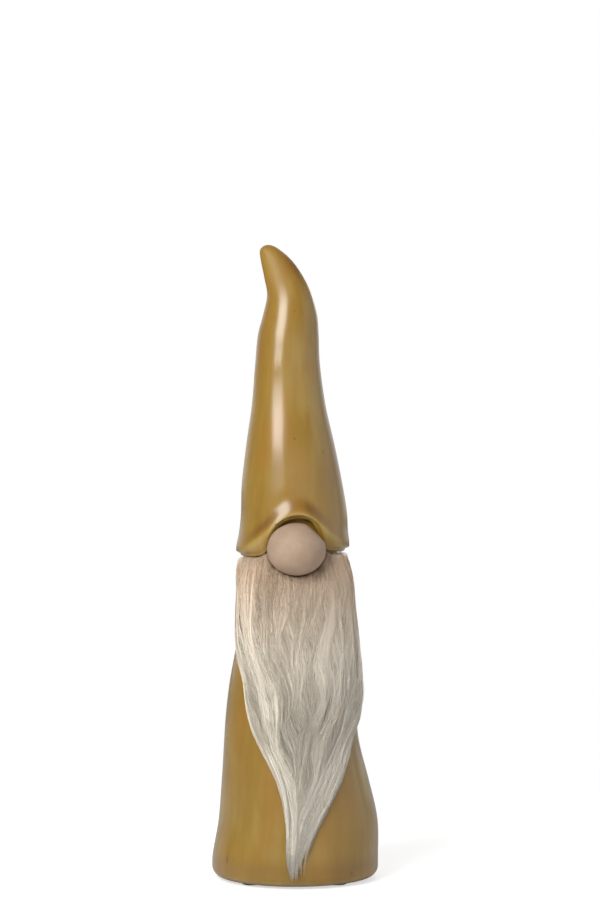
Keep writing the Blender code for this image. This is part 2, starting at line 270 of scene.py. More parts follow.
HAT_STATIONS = tuple((np.sqrt(HAT_TOP - z), x, half) for z, x, half in reversed(HAT_OUTLINE))


def long_waves(angle, z, seed, size):
    """The unevenness of a hand-made casting: a sum of sines of angle and height with whole turns round."""
    rng = np.random.default_rng(seed)
    total = np.zeros(np.broadcast(angle, z).shape)
    for turns in (1, 2, 2, 3, 4):
        length, phase = rng.uniform(45, 110), rng.uniform(0, 2 * np.pi, 2)
        around = np.sin(np.radians(angle) * turns + phase[0])
        total += around * np.sin(2 * np.pi * z / length + phase[1]) / (1 + 0.4 * turns)
    return size * total


# ---------------------------------------------------------------- castings


def body_section(z):
    """Centre in X and half width of the body, which narrows to the collar above its neck."""
    center, half = outline(BODY_OUTLINE, np.minimum(z, NECK_TOP))
    return center, mix(half, COLLAR_HALF_WIDTH, smooth_step(NECK_TOP, COLLAR_BOTTOM, z))


def body_point(angle, z, offset):
    """A point of the body's oval section at a height, moved out by offset."""
    center, half = body_section(z)
    side, front = np.sin(np.radians(angle)), np.cos(np.radians(angle))
    x = center + (half + offset) * side
    y = AXIS_Y - (half * DEPTH_RATIO + offset) * front
    return np.stack(np.broadcast_arrays(x, y, z), axis=-1)


def hat_section(z):
    return outline(HAT_STATIONS, np.sqrt(np.maximum(HAT_TOP - z, 0.0)))


def hat_point(angle, z, offset):
    """A point of the hat's oval section at a height, moved out by offset; the bent tip is flatter."""
    center, half = hat_section(z)
    depth = half * (DEPTH_RATIO - BEND_FLATTENING * smooth_step(BEND_START, BEND_END, z))
    side, front = np.sin(np.radians(angle)), np.cos(np.radians(angle))
    x = center + (half + offset) * side
    y = AXIS_Y - (depth + offset) * front
    return np.stack(np.broadcast_arrays(x, y, z), axis=-1)


def from_arch(angle):
    return np.abs((angle - ARCH_ANGLE + 180) % 360 - 180)


def brim_edge(angle):
    """Height of the hat's lower edge: a tilted level line, a low wide skirt and a flat-topped arch."""
    lean = np.sin(np.radians(angle))
    arch = ARCH_RISE * np.exp(-((from_arch(angle) / ARCH_WIDTH) ** ARCH_POWER))
    skirt = (SKIRT_RISE + SKIRT_LEAN * lean) * bell(from_arch(angle), 0, SKIRT_WIDTH)
    return BRIM_HEIGHT + BRIM_TILT * lean + arch + skirt


def brim_ridge(angle):
    """Height of the ridge that runs round the brim above its edge, with a wider bell-shaped arch."""
    arch = RIDGE_RISE * bell(from_arch(angle), 0, RIDGE_WIDTH)
    return RIDGE_HEIGHT + BRIM_TILT * np.sin(np.radians(angle)) + arch


def brim_offset(angle, above_ridge):
    """How far the brim stands out: a swell that fades above the ridge, less the hollow above it."""
    over_nose = bell(from_arch(angle), 0, ARCH_REACH)
    fall = mix(RIDGE_FALL_SIDE, RIDGE_FALL, over_nose)
    hollow = mix(HOLLOW_DEPTH_SIDE, HOLLOW_DEPTH, over_nose)
    swell = RIDGE_SWELL * bell(above_ridge, 0, fall)
    return swell - hollow * bell(above_ridge, HOLLOW_ABOVE_RIDGE, HOLLOW_HEIGHT)


def casting_angles(columns):
    return np.linspace(0, 360, columns, endpoint=False)[None, :]


def hat_surface(columns):
    """The whole skin of the hat as rows of points, from its cavity's top down, round the rim and up to the tip.

    The wall inside follows the outside at one wall's distance and closes in a dome. The rim is a half
    round. The outside leaves it on a parabola up to the ridge, follows brim_offset above the ridge, and
    runs up the cone in rows that close towards the tip. Gives points, glaze depth, bare share and dull share.
    The glaze depth also holds painted shade, under the rim over the nose (where the glaze also pools) and on the
    right side of the tip.
    """
    angle = casting_angles(columns)
    edge, ridge = brim_edge(angle), brim_ridge(angle)
    turn_in = mix(RIM_CURL_SIDE, RIM_CURL, bell(from_arch(angle), 0, ARCH_REACH))
    radius = (WALL - turn_in) / 2
    share = np.linspace(0.02, 1, 26, endpoint=False)[:, None]
    inside_z = mix(edge + radius, HAT_CAVITY_TOP, 1 - share**2)
    dome = np.minimum(np.sqrt((HAT_CAVITY_TOP + 0.2 - inside_z) / CAVITY_DOME), 1.0)
    inside = -WALL - (hat_section(inside_z)[1] - WALL) * (1 - dome)
    turn = np.linspace(np.pi, 2 * np.pi, 13)[:, None]
    rim_z = edge + radius * (1 + np.sin(turn))
    rim = radius * (np.cos(turn) - 1) - turn_in
    share = np.linspace(0, 1, 13)[1:, None]
    curl_z = mix(edge + radius, ridge, share)
    curl = mix(-turn_in, brim_offset(angle, 0.0), 1 - (1 - share) ** 2)
    above = np.linspace(0, 1, 41)[1:, None] ** 1.2 * BRIM_TOP
    fade = 1 - smooth_step(BRIM_TOP - 6, BRIM_TOP, above)
    brim_z = ridge + above
    brim = brim_offset(angle, above) * fade
    reach = 1 - (1 - np.arange(1, 111)[:, None] / 110.5) ** 2
    cone_z = mix(ridge + BRIM_TOP, HAT_TOP, reach)
    cone = 0 * cone_z
    z = np.concatenate([inside_z, rim_z, curl_z, brim_z, cone_z])
    offset = np.concatenate([inside, rim, curl, brim, cone])
    above_ridge = z - ridge
    outside = np.concatenate([0 * inside_z, np.ones_like(z[len(inside_z) :])])
    uneven = smooth_step(0.0, 8.0, above_ridge) * (1 - smooth_step(300, 318, z))
    offset = offset + outside * uneven * long_waves(angle, z, HAT_SEED, 0.16)
    turned = (angle + 180) % 360 - 180
    for middle, level, half_angle, half_height, out in HAT_DENTS:
        near = ((turned - middle) / half_angle) ** 2 + ((z - level) / half_height) ** 2
        offset = offset + outside * out * np.exp(-near)
    over_nose = bell(from_arch(angle), 0, 58)
    left_pool = bell(turned, -42, 16)
    right_pool = bell(turned, 22, 12)
    pools = 0.12 + 0.30 * left_pool + 0.14 * right_pool
    pool = bell(above_ridge, 4.8, 3.4) * over_nose * pools
    band = np.where(above_ridge > 0, 1.7, 3.0)
    thin = 0.24 * bell(above_ridge, 0, band) * over_nose
    # Below the ridge over the nose the glaze is made darker: partly glaze pooled under the rolled rim, partly
    # painted shade under the rim.
    under = smooth_step(-0.5, -3.0, above_ridge) * np.exp(-((from_arch(angle) / 24) ** 4))
    # Painted shade: darker glaze on the right side of the tip.
    tip_painted_shade = 0.3 * np.exp(-(((turned - 62) / 40) ** 2) - ((z - 310) / 6) ** 2)
    depth = np.clip(0.5 + pool - thin + 0.5 * under + tip_painted_shade, 0.0, 1.0)
    bare = (1 - outside) * smooth_step(2.0, 4.0, z - edge)
    dull = smooth_step(288.0, 304.0, z)
    return hat_point(angle, z, offset), depth, bare, dull


def body_surface(columns):
    """The whole skin of the body as a closed loop of rows.

    From the pour hole the rows run out under the foot, round its quarter-circle fillet, up the outside,
    over the collar, down the inside at one wall's distance and across the floor back to the hole.
    Gives points, glaze depth and bare share.
    """
    angle = casting_angles(columns)
    floor_top = FOOT_HEIGHT + FLOOR_THICKNESS
    reach = np.linspace(0, 1, 9)[:-1, None]
    side, front = np.sin(np.radians(angle)), np.cos(np.radians(angle))
    hole = np.stack([POUR_RADIUS * side, AXIS_Y - POUR_RADIUS * front, FOOT_HEIGHT + 0 * angle], axis=-1)
    foot_edge = body_point(angle, np.array([[FOOT_HEIGHT]]), -FOOT_FILLET)
    foot = mix(hole, foot_edge, reach[..., None])
    turn = np.linspace(0, np.pi / 2, 11)[:-1, None]
    fillet_z = FOOT_HEIGHT + FOOT_FILLET * (1 - np.cos(turn)) + 0 * angle
    fillet = FOOT_FILLET * (np.sin(turn) - 1) + 0 * angle
    side_z = np.linspace(FOOT_HEIGHT + FOOT_FILLET, COLLAR_TOP, 130)[:, None] + 0 * angle
    top_z = np.full((3, 1), COLLAR_TOP) + 0 * angle
    top = -WALL * np.linspace(0, 1, 5)[1:-1, None] + 0 * angle
    down_z = np.linspace(COLLAR_TOP, floor_top, 30)[:, None] + 0 * angle
    z = np.concatenate([fillet_z, side_z, top_z, down_z])
    offset = np.concatenate([fillet, 0 * side_z, top, 0 * down_z - WALL])
    outside = np.zeros_like(z)
    outside[: len(fillet_z) + len(side_z)] = 1.0
    uneven = smooth_step(8, 22, z) * (1 - smooth_step(130, 160, z))
    offset = offset + outside * uneven * long_waves(angle, z, BODY_SEED, 0.2)
    wall = body_point(angle, z, offset)
    floor_edge, floor_hole = wall[-1:], hole + np.array((0, 0, FLOOR_THICKNESS))
    floor = mix(floor_edge, floor_hole, np.linspace(0, 1, 7)[1:, None, None])
    points = np.concatenate([foot, wall, floor])
    depth_z = np.concatenate([0 * foot[..., 0], z, 0 * floor[..., 0]])
    thin, thick = bell(depth_z, 3.0, 1.4), bell(depth_z, 9, 4)
    depth = 0.5 - 0.12 * thin + 0.1 * thick
    bare = 1 - np.concatenate([0 * foot[..., 0], outside * smooth_step(2.0, 2.7, z), 0 * floor[..., 0]])
    return points, depth, bare


def nose_surface(columns, rows):
    """A ball round the Y axis, pressed a little flat in front, with a flat back behind a small rounding.

    Rows run from the front pole back: the polar angle grows evenly to the cut, then the radius closes.
    """
    around = round_angles(columns)
    cut = (NOSE_BACK_Y - NOSE_CENTER[1]) / NOSE_RADII[1]
    polar = np.linspace(0, np.arccos(-cut), rows)[1:, None]
    x = np.sin(polar) * np.cos(around)
    z = np.sin(polar) * np.sin(around)
    y = -np.cos(polar) + 0 * around
    close = np.array([0.985, 0.955, 0.9, 0.7, 0.4])[:, None]
    x = np.concatenate([x, x[-1:] * close])
    z = np.concatenate([z, z[-1:] * close])
    y = np.concatenate([y, cut + np.array([0.012, 0.018, 0.02, 0.02, 0.02])[:, None] + 0 * around])
    y = np.minimum(y, cut)
    bump = 0.006 * np.sin(3 * x + 2.1) * np.sin(2.5 * z + 0.4) + 0.004 * np.sin(5 * z - 4 * x)
    swell = 1 + bump * (y < cut)
    flat_x, flat_z, start, left = NOSE_FLAT
    past = np.maximum(x * flat_x + z * flat_z - start, 0.0) * (1 - left)
    x, z = x - past * flat_x, z - past * flat_z
    x, y, z = x * (1 - 0.02 * z) * swell, y * (1 - 0.04 * y * y), (z + 0.02 * x * x) * swell
    return np.stack([x, y, z], axis=-1) * NOSE_RADII + NOSE_CENTER


# ---------------------------------------------------------------- meshes


def grid_quads(rows, columns, around, loop=False):
    """Quads between points numbered row by row; around joins the columns' ends, loop the rows' ends."""
    row = np.arange(rows if loop else rows - 1)[:, None]
    column = np.arange(columns if around else columns - 1)[None, :]
    next_row, next_column = (row + 1) % rows, (column + 1) % columns
    corners = ((row, column), (row, next_column), (next_row, next_column), (next_row, column))
    quads = np.broadcast_arrays(*(down * columns + along for down, along in corners))
    return np.stack(quads, axis=-1).reshape(-1, 4)


def write_piece(name, points, quads, material, triangles=np.zeros((0, 3), int)):
    """An object at the origin from points in millimetres and arrays of corner numbers."""
    corners = np.concatenate([quads.ravel(), triangles.ravel()]).astype(np.int32)
    sizes = np.concatenate([np.full(len(quads), 4), np.full(len(triangles), 3)])
    starts = np.concatenate([[0], np.cumsum(sizes)[:-1]]).astype(np.int32)
    mesh = bpy.data.meshes.new(name)
    mesh.vertices.add(len(points))
    mesh.vertices.foreach_set("co", (points * MM).astype(np.float32).ravel())
    mesh.loops.add(len(corners))
    mesh.loops.foreach_set("vertex_index", corners)
    mesh.polygons.add(len(sizes))
    mesh.polygons.foreach_set("loop_start", starts)
    mesh.update(calc_edges=True)
    if mesh.validate():
        raise RuntimeError(f"the mesh of {name} had bad faces")
    mesh.shade_smooth()
    mesh.materials.append(material)
    piece = bpy.data.objects.new(name, mesh)
    bpy.context.scene.collection.objects.link(piece)
    return piece


def write_attributes(piece, **attributes):
    for name, values in attributes.items():
        layer = piece.data.attributes.new(name, "FLOAT", "POINT")
        layer.data.foreach_set("value", np.asarray(values, np.float32).ravel())


def lathe_piece(name, rows, material):
    """A closed skin from rows of points that run round an axis; the two ends close on their middles."""
    count, columns = rows.shape[:2]
    ends = np.stack([rows[0].mean(axis=0), rows[-1].mean(axis=0)])
    points = np.concatenate([rows.reshape(-1, 3), ends])
    first = np.arange(columns)
    after = (first + 1) % columns
    start, end = count * columns, count * columns + 1
    last = (count - 1) * columns
    corners = ((np.full(columns, start), after, first), (np.full(columns, end), last + first, last + after))
    fans = np.concatenate([np.stack(three, axis=-1) for three in corners])
    return write_piece(name, points, grid_quads(count, columns, True), material, fans)


def layer_piece(name, inner, outer, material):
    """A closed thin solid from the two grids of points of its faces."""
    rows, columns = inner.shape[:2]
    count = rows * columns
    face = grid_quads(rows, columns, False)
    border = np.concatenate(
        [
            np.arange(columns),
            np.arange(2, rows + 1) * columns - 1,
            count - 2 - np.arange(columns - 1),
            np.arange(rows - 2, 0, -1) * columns,
        ]
    )
    after = np.roll(border, -1)
    rim = np.stack([border, after, after + count, border + count], axis=-1)
    points = np.concatenate([inner.reshape(-1, 3), outer.reshape(-1, 3)])
    quads = np.concatenate([face, face[:, ::-1] + count, rim[:, ::-1]])
    return write_piece(name, points, quads, material)


def finish_piece(piece, slot, *nodes):
    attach(piece, "root")
    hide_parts(*nodes)
    return piece


# ---------------------------------------------------------------- materials


def plug(tree, socket, value):
    """A link into a socket, or its own value; a colour gets its alpha."""
    if isinstance(value, bpy.types.NodeSocket):
        tree.links.new(value, socket)
    else:
        socket.default_value = (*value, 1.0) if socket.type == "RGBA" else value


def feed(tree, node, **settings):
    """Sets a node's sockets, which are named with spaces as _, and its properties."""
    sockets = {socket.name.replace(" ", "_"): socket for socket in reversed(node.inputs)}
    for key, value in settings.items():
        if key in sockets:
            plug(tree, sockets[key], value)
        else:
            setattr(node, key, value)
    return node


def put(tree, kind, **settings):
    return feed(tree, tree.nodes.new(kind), **settings)


def maths(tree, operation, *values):
    node = put(tree, "ShaderNodeMath", operation=operation)
    for socket, value in zip(node.inputs, values):
        plug(tree, socket, value)
    return node.outputs[0]


def times(tree, first, second):
    return maths(tree, "MULTIPLY", first, second)


def times_plus(tree, value, factor, more):
    return maths(tree, "MULTIPLY_ADD", value, factor, more)


def blend_colours(tree, share, first, second, way="MIX"):
    node = put(tree, "ShaderNodeMix", data_type="RGBA", blend_type=way)
    for number, value in ((0, share), (6, first), (7, second)):
        plug(tree, node.inputs[number], value)
    return node.outputs[2]


def ramp(tree, value, stops):
    """A colour ramp through (position, colour) stops."""
    node = put(tree, "ShaderNodeValToRGB", Fac=value)
    elements = node.color_ramp.elements
    while len(elements) < len(stops):
        elements.new(1.0)
    for element, (position, colour) in zip(elements, stops):
        element.position = position
        element.color = (*colour, 1.0)
    return node.outputs["Color"]


def smooth_socket(tree, value, low, high):
    """The smooth step of a socket's value between two limits."""
    node = put(
        tree, "ShaderNodeMapRange", interpolation_type="SMOOTHSTEP", Value=value, From_Min=low, From_Max=high
    )
    return node.outputs["Result"]


def noise(tree, place, scale, detail):
    return put(tree, "ShaderNodeTexNoise", Vector=place, Scale=scale, Detail=detail).outputs["Fac"]


def stretched(tree, place, scale, **more):
    """A place scaled along the axes, and moved or turned where that is given."""
    return put(tree, "ShaderNodeMapping", Vector=place, Scale=scale, **more).outputs[0]


def bumped(tree, height, strength, distance):
    return put(tree, "ShaderNodeBump", Strength=strength, Distance=distance, Height=height).outputs[0]


def scaled(colour, factor):
    return tuple(factor * channel for channel in colour)


def node_group(name, inputs, outputs):
    """An empty shader node group with a socket for the place and others for numbers, and its two ends."""
    tree = bpy.data.node_groups.new(name, "ShaderNodeTree")
    tree.interface.new_socket(name="Place", in_out="INPUT", socket_type="NodeSocketVector")
    for way, labels in (("INPUT", inputs), ("OUTPUT", outputs)):
        for label in labels:
            tree.interface.new_socket(name=label, in_out=way, socket_type="NodeSocketFloat")
    return tree, tree.nodes.new("NodeGroupInput").outputs, tree.nodes.new("NodeGroupOutput").inputs


def mottle_group():
    """Cloudy variation at two scales, as a value round 0.5."""
    if "mottle" in bpy.data.node_groups:
        return bpy.data.node_groups["mottle"]
    tree, ins, outs = node_group("mottle", ("Scale",), ("Clouds", "Grain"))
    fine_scale = times(tree, ins["Scale"], 14.0)
    tree.links.new(noise(tree, ins["Place"], ins["Scale"], 3.0), outs["Clouds"])
    tree.links.new(noise(tree, ins["Place"], fine_scale, 4.0), outs["Grain"])
    return tree


def specks_group():
    """Small dark dots: the middles of a few cells out of a field of cells, with ragged edges."""
    if "specks" in bpy.data.node_groups:
        return bpy.data.node_groups["specks"]
    tree, ins, outs = node_group("specks", ("Scale", "Size", "Share"), ("Mask",))
    warp = put(tree, "ShaderNodeTexNoise", Vector=ins["Place"], Scale=900.0, Detail=2.0).outputs["Color"]
    shift = put(tree, "ShaderNodeVectorMath", operation="SCALE", Vector=warp, Scale=0.0006)
    moved = put(tree, "ShaderNodeVectorMath", operation="ADD", Vector=ins["Place"])
    tree.links.new(shift.outputs[0], moved.inputs[1])
    cells = put(tree, "ShaderNodeTexVoronoi", Vector=moved.outputs[0], Scale=ins["Scale"]).outputs
    split = put(tree, "ShaderNodeSeparateColor", Color=cells["Color"]).outputs
    chosen = maths(tree, "LESS_THAN", split[0], ins["Share"])
    size = times(tree, ins["Size"], maths(tree, "ADD", split[1], 0.4))
    near = maths(tree, "SUBTRACT", 1.0, maths(tree, "DIVIDE", cells["Distance"], size))
    dot = times(tree, maths(tree, "MAXIMUM", near, 0.0), 2.0)
    tree.links.new(times(tree, maths(tree, "MINIMUM", dot, 1.0), chosen), outs["Mask"])
    return tree


def use_group(tree, group, **settings):
    return feed(tree, put(tree, "ShaderNodeGroup", node_tree=group), **settings).outputs


def new_material(name):
    """An empty node material with its shader, and a socket with the place on the object."""
    material = bpy.data.materials.new(name)
    material.use_nodes = True
    tree = material.node_tree
    place = tree.nodes.new("ShaderNodeTexCoord").outputs["Object"]
    return material, tree, tree.nodes["Principled BSDF"], place


def add_specks(tree, place, colour, scale, size, share, strength, dark):
    mask = use_group(tree, specks_group(), Place=place, Scale=scale, Size=size, Share=share)["Mask"]
    return blend_colours(tree, times(tree, mask, strength), colour, dark)


def glaze_material(name, colours, seed):
    """Glossy ochre glaze: amber where it lies thick, straw where it runs thin, iron specks, bare clay inside. On the
    hat the depth it reads also holds painted shade, which darkens the glaze the same way.
    """
    thin, body, thick, clay = colours
    material, tree, shader, place = new_material(name)
    depth, bare, dull = (
        put(tree, "ShaderNodeAttribute", attribute_name=label).outputs["Fac"]
        for label in ("glaze_depth", "bare", "dull")
    )
    moved = stretched(tree, place, (1.0, 1.0, 0.55), Location=(0.1 * seed, 0.07 * seed, 0.0))
    mottle = use_group(tree, mottle_group(), Place=moved, Scale=42.0)
    streaks = noise(tree, stretched(tree, place, (1.0, 1.0, 0.09)), 260.0, 2.0)
    cloud = times_plus(tree, mottle["Clouds"], 0.34, -0.17)
    streak = times_plus(tree, streaks, 0.16, -0.08)
    varied = maths(tree, "ADD", maths(tree, "ADD", depth, cloud), streak)
    stops = ((0.0, thin), (0.22, thin), (0.5, body), (0.78, thick), (1.0, scaled(thick, 0.4)))
    warm = times(tree, smooth_socket(tree, noise(tree, moved, 75.0, 1.0), 0.5, 0.72), 0.36)
    amber = tuple(channel * change for channel, change in zip(body, (1.12, 0.86, 0.7)))
    colour = blend_colours(tree, warm, ramp(tree, varied, stops), amber)
    colour = add_specks(tree, place, colour, 210.0, 0.12, 0.1, 0.55, (0.07, 0.03, 0.01))
    long_place = stretched(tree, place, (1.0, 1.0, 0.4), Location=(0.013 * seed, 0.0, 0.0))
    colour = add_specks(tree, long_place, colour, 70.0, 0.12, 0.5, 0.5, (0.12, 0.055, 0.015))
    clay_colour = blend_colours(tree, mottle["Grain"], clay, scaled(clay, 0.8))
    gloss = times_plus(tree, mottle["Clouds"], 0.12, 0.24)
    matt = maths(tree, "MAXIMUM", bare, times(tree, dull, 0.55))
    coat = maths(tree, "MAXIMUM", times_plus(tree, matt, -1.0, 0.6), 0.0)
    height = times_plus(tree, mottle["Grain"], 0.12, noise(tree, place, 130.0, 1.0))
    height = times_plus(tree, bare, mottle["Grain"], height)
    feed(
        tree,
        shader,
        Base_Color=blend_colours(tree, bare, colour, clay_colour),
        Roughness=times_plus(tree, matt, 0.5, gloss),
        Coat_Weight=coat,
        Coat_Roughness=0.2,
        Coat_IOR=1.55,
        IOR=1.5,
        Normal=bumped(tree, height, 0.35, 0.00012),
    )
    return material


def clay_material(name, colour, grain, specks_share):
    """Matte fired clay: cloudy tone, fine sandy grain and a few small dark grains."""
    material, tree, shader, place = new_material(name)
    mottle = use_group(tree, mottle_group(), Place=place, Scale=90.0)
    tone = smooth_socket(tree, mottle["Clouds"], 0.3, 0.7)
    fine = smooth_socket(tree, mottle["Grain"], 0.35, 0.65)
    shade = blend_colours(tree, tone, scaled(colour, 0.9), scaled(colour, 1.06))
    shade = blend_colours(tree, times(tree, fine, 0.25), shade, scaled(colour, 0.82))
    shade = add_specks(tree, place, shade, 420.0, 0.2, specks_share, 0.5, (0.2, 0.12, 0.08))
    rough = times_plus(tree, fine, 0.14, 0.56)
    feed(tree, shader, Base_Color=shade, Roughness=rough, Normal=bumped(tree, mottle["Grain"], grain, 0.0002))
    return material


def glue_material(name, colour):
    """Milky hot glue: faint clouds in the colour, soft ripples and a waxy gloss."""
    material, tree, shader, place = new_material(name)
    mottle = use_group(tree, mottle_group(), Place=place, Scale=160.0)
    cloudy = blend_colours(tree, mottle["Clouds"], colour, scaled(colour, 0.82))
    rough = times_plus(tree, mottle["Grain"], 0.2, 0.25)
    feed(tree, shader, Base_Color=cloudy, Roughness=rough, Normal=bumped(tree, mottle["Clouds"], 0.5, 0.0004))
    return material


def knit_material(name, colour):
    """Knitted backing: crossed rows of stitches as waves, with cloudy wear in the yarn."""
    material, tree, shader, place = new_material(name)
    wales, courses = (
        put(tree, "ShaderNodeTexWave", Vector=place, Scale=scale, Distortion=bend, Detail=1.0, bands_direction=way)
        for scale, bend, way in ((210.0, 1.2, "X"), (260.0, 1.8, "Z"))
    )
    stitch = times(tree, wales.outputs["Fac"], courses.outputs["Fac"])
    yarn = blend_colours(tree, stitch, scaled(colour, 0.55), colour)
    clouds = use_group(tree, mottle_group(), Place=place, Scale=120.0)["Clouds"]
    worn = blend_colours(tree, times(tree, clouds, 0.3), yarn, (0.5, 0.44, 0.36))
    stitched = bumped(tree, stitch, 0.8, 0.0004)
    feed(tree, shader, Base_Color=worn, Roughness=0.9, Sheen_Weight=0.3, Normal=stitched)
    return material


def felt_material(name, colour):
    """Pressed felt: matted fibres as stretched noise in two directions, with paler tufts."""
    material, tree, shader, place = new_material(name)
    one_way = stretched(tree, place, (1.0, 0.25, 1.0))
    other_way = stretched(tree, place, (0.25, 1.0, 1.0), Rotation=(0.0, 0.0, 0.6))
    fibres = maths(tree, "MAXIMUM", *(noise(tree, way, 2400.0, 3.0) for way in (one_way, other_way)))
    clouds = use_group(tree, mottle_group(), Place=place, Scale=300.0)["Clouds"]
    shade = blend_colours(tree, smooth_socket(tree, fibres, 0.45, 0.75), scaled(colour, 0.6), scaled(colour, 1.7))
    shade = blend_colours(tree, times(tree, clouds, 0.35), shade, colour)
    matted = bumped(tree, fibres, 0.9, 0.0003)
    feed(tree, shader, Base_Color=shade, Roughness=0.95, Sheen_Weight=0.4, Normal=matted)
    return material


def hair_material(name, top, middle, tip, darker):
    """Straight synthetic hair: warm at the beard's top, silvery below, with its own tone for every strand; the guard
    hair's tones also hold painted light and shade.

    The strand's map carries the tone across and the way from the beard's top to its end along.
    """
    material, tree, shader, _ = new_material(name)
    strand = put(tree, "ShaderNodeUVMap", uv_map="OFBake")
    tone, along, _ = put(tree, "ShaderNodeSeparateXYZ", Vector=strand.outputs[0]).outputs
    colour = ramp(tree, along, ((0.0, top), (0.07, top), (0.30, middle), (1.0, tip)))
    stops = (
        (0.0, (darker, 0.96 * darker, 0.9 * darker)),
        (0.35, (0.80, 0.78, 0.74)),
        (0.7, (0.98, 0.98, 0.97)),
        (1.0, (1.14, 1.15, 1.16)),
    )
    feed(
        tree,
        shader,
        Base_Color=blend_colours(tree, 1.0, colour, ramp(tree, tone, stops), "MULTIPLY"),
        Roughness=times_plus(tree, along, -0.08, 0.46),
        Specular_IOR_Level=0.45,
        Sheen_Weight=0.15,
        Sheen_Roughness=0.4,
    )
    return material


# ---------------------------------------------------------------- hair


def beard_place(across, level):
    """Angle and height at a share across the beard and a nominal height, with the notch under the nose."""
    left, right = outline(BEARD_EDGES, level)
    angle = mix(left, right, across)
    down = np.clip((BEARD_TOP - level) / (BEARD_TOP - BEARD_BOTTOM), 0.0, 1.0)
    inside = np.maximum(1 - ((angle - ARCH_ANGLE) / NOSE_NOTCH_WIDTH) ** 2, 0.0)
    beside = NOSE_SIDE_RISE * bell(from_arch(angle), 34, 5)
    notch = NOSE_NOTCH_DEPTH * inside**NOSE_NOTCH_POWER - beside - BRIM_TILT * np.sin(np.radians(angle))
    return angle, level - notch * (1 - down) ** 4


def beard_point(across, level, height):
    angle, z = beard_place(across, level)
    return body_point(angle, z, height)


def beard_depth(across, level):
    """Lowest and highest place of the hair above the ceramic: over the backing, and thinning to the tip."""
    edge = np.minimum(across, 1 - across)
    on_backing = smooth_step(0.03, 0.07, edge) * smooth_step(78.0, 86.0, level)
    low = mix(LOWEST_HAIR, BACKING_LAYER[1] + 0.1, on_backing)
    share = np.clip((level - BEARD_BOTTOM) / (BEARD_TOP - BEARD_BOTTOM), 0.0, 1.0)
    full = mix(TIP_PILE, FULL_PILE, smooth_step(0.28, 0.5, share))
    right_side = smooth_step(80.0, 110.0, level) * (1 - smooth_step(148.0, 162.0, level))
    full = full + RIGHT_PILE * smooth_step(0.6, 0.95, across) * right_side
    rounding = mix(0.35 + 0.45 * smooth_step(146.0, 160.0, level), 1.0, smooth_step(-0.02, 0.14, edge))
    top = mix(0.93, 1.0, smooth_step(BEARD_TOP, 156.0, level))
    full = full + MIDDLE_PILE * bell(across, 0.52, 0.2) * smooth_step(120.0, 150.0, level)
    return low, np.maximum(full * rounding * top, low + 0.5)


def beard_width(level):
    left, right = outline(BEARD_EDGES, level)
    return np.radians(right - left) * (body_section(level)[1] + 4)


def keep_between(across):
    """Shares past the beard's edges are pressed back to just outside them."""
    far = (across - 0.5) * 2
    pressed = np.sign(far) * (0.8 + 0.24 * np.tanh((np.abs(far) - 0.8) / 0.24))
    return 0.5 + 0.5 * np.where(np.abs(far) < 0.8, far, pressed)


def part_hair(across, level):
    """Strands are pushed aside from each parting by a bell curve across it, which fades along it."""
    for share, middle, lean, width, height in PARTINGS:
        away = across - (share + lean * (level - middle))
        fade = bell(level, middle, height)
        push = PARTING_PUSH * width * fade * bell(away, 0, 2.2 * width)
        across = across + push * np.tanh(away / (0.25 * width))
    return across


def strand_steps(points):
    """Shares of a strand's length: steps that grow as a power from the root, and a short pointed end."""
    return np.append(0.985 * np.linspace(0, 1, points - 1) ** 1.6, 1.0)


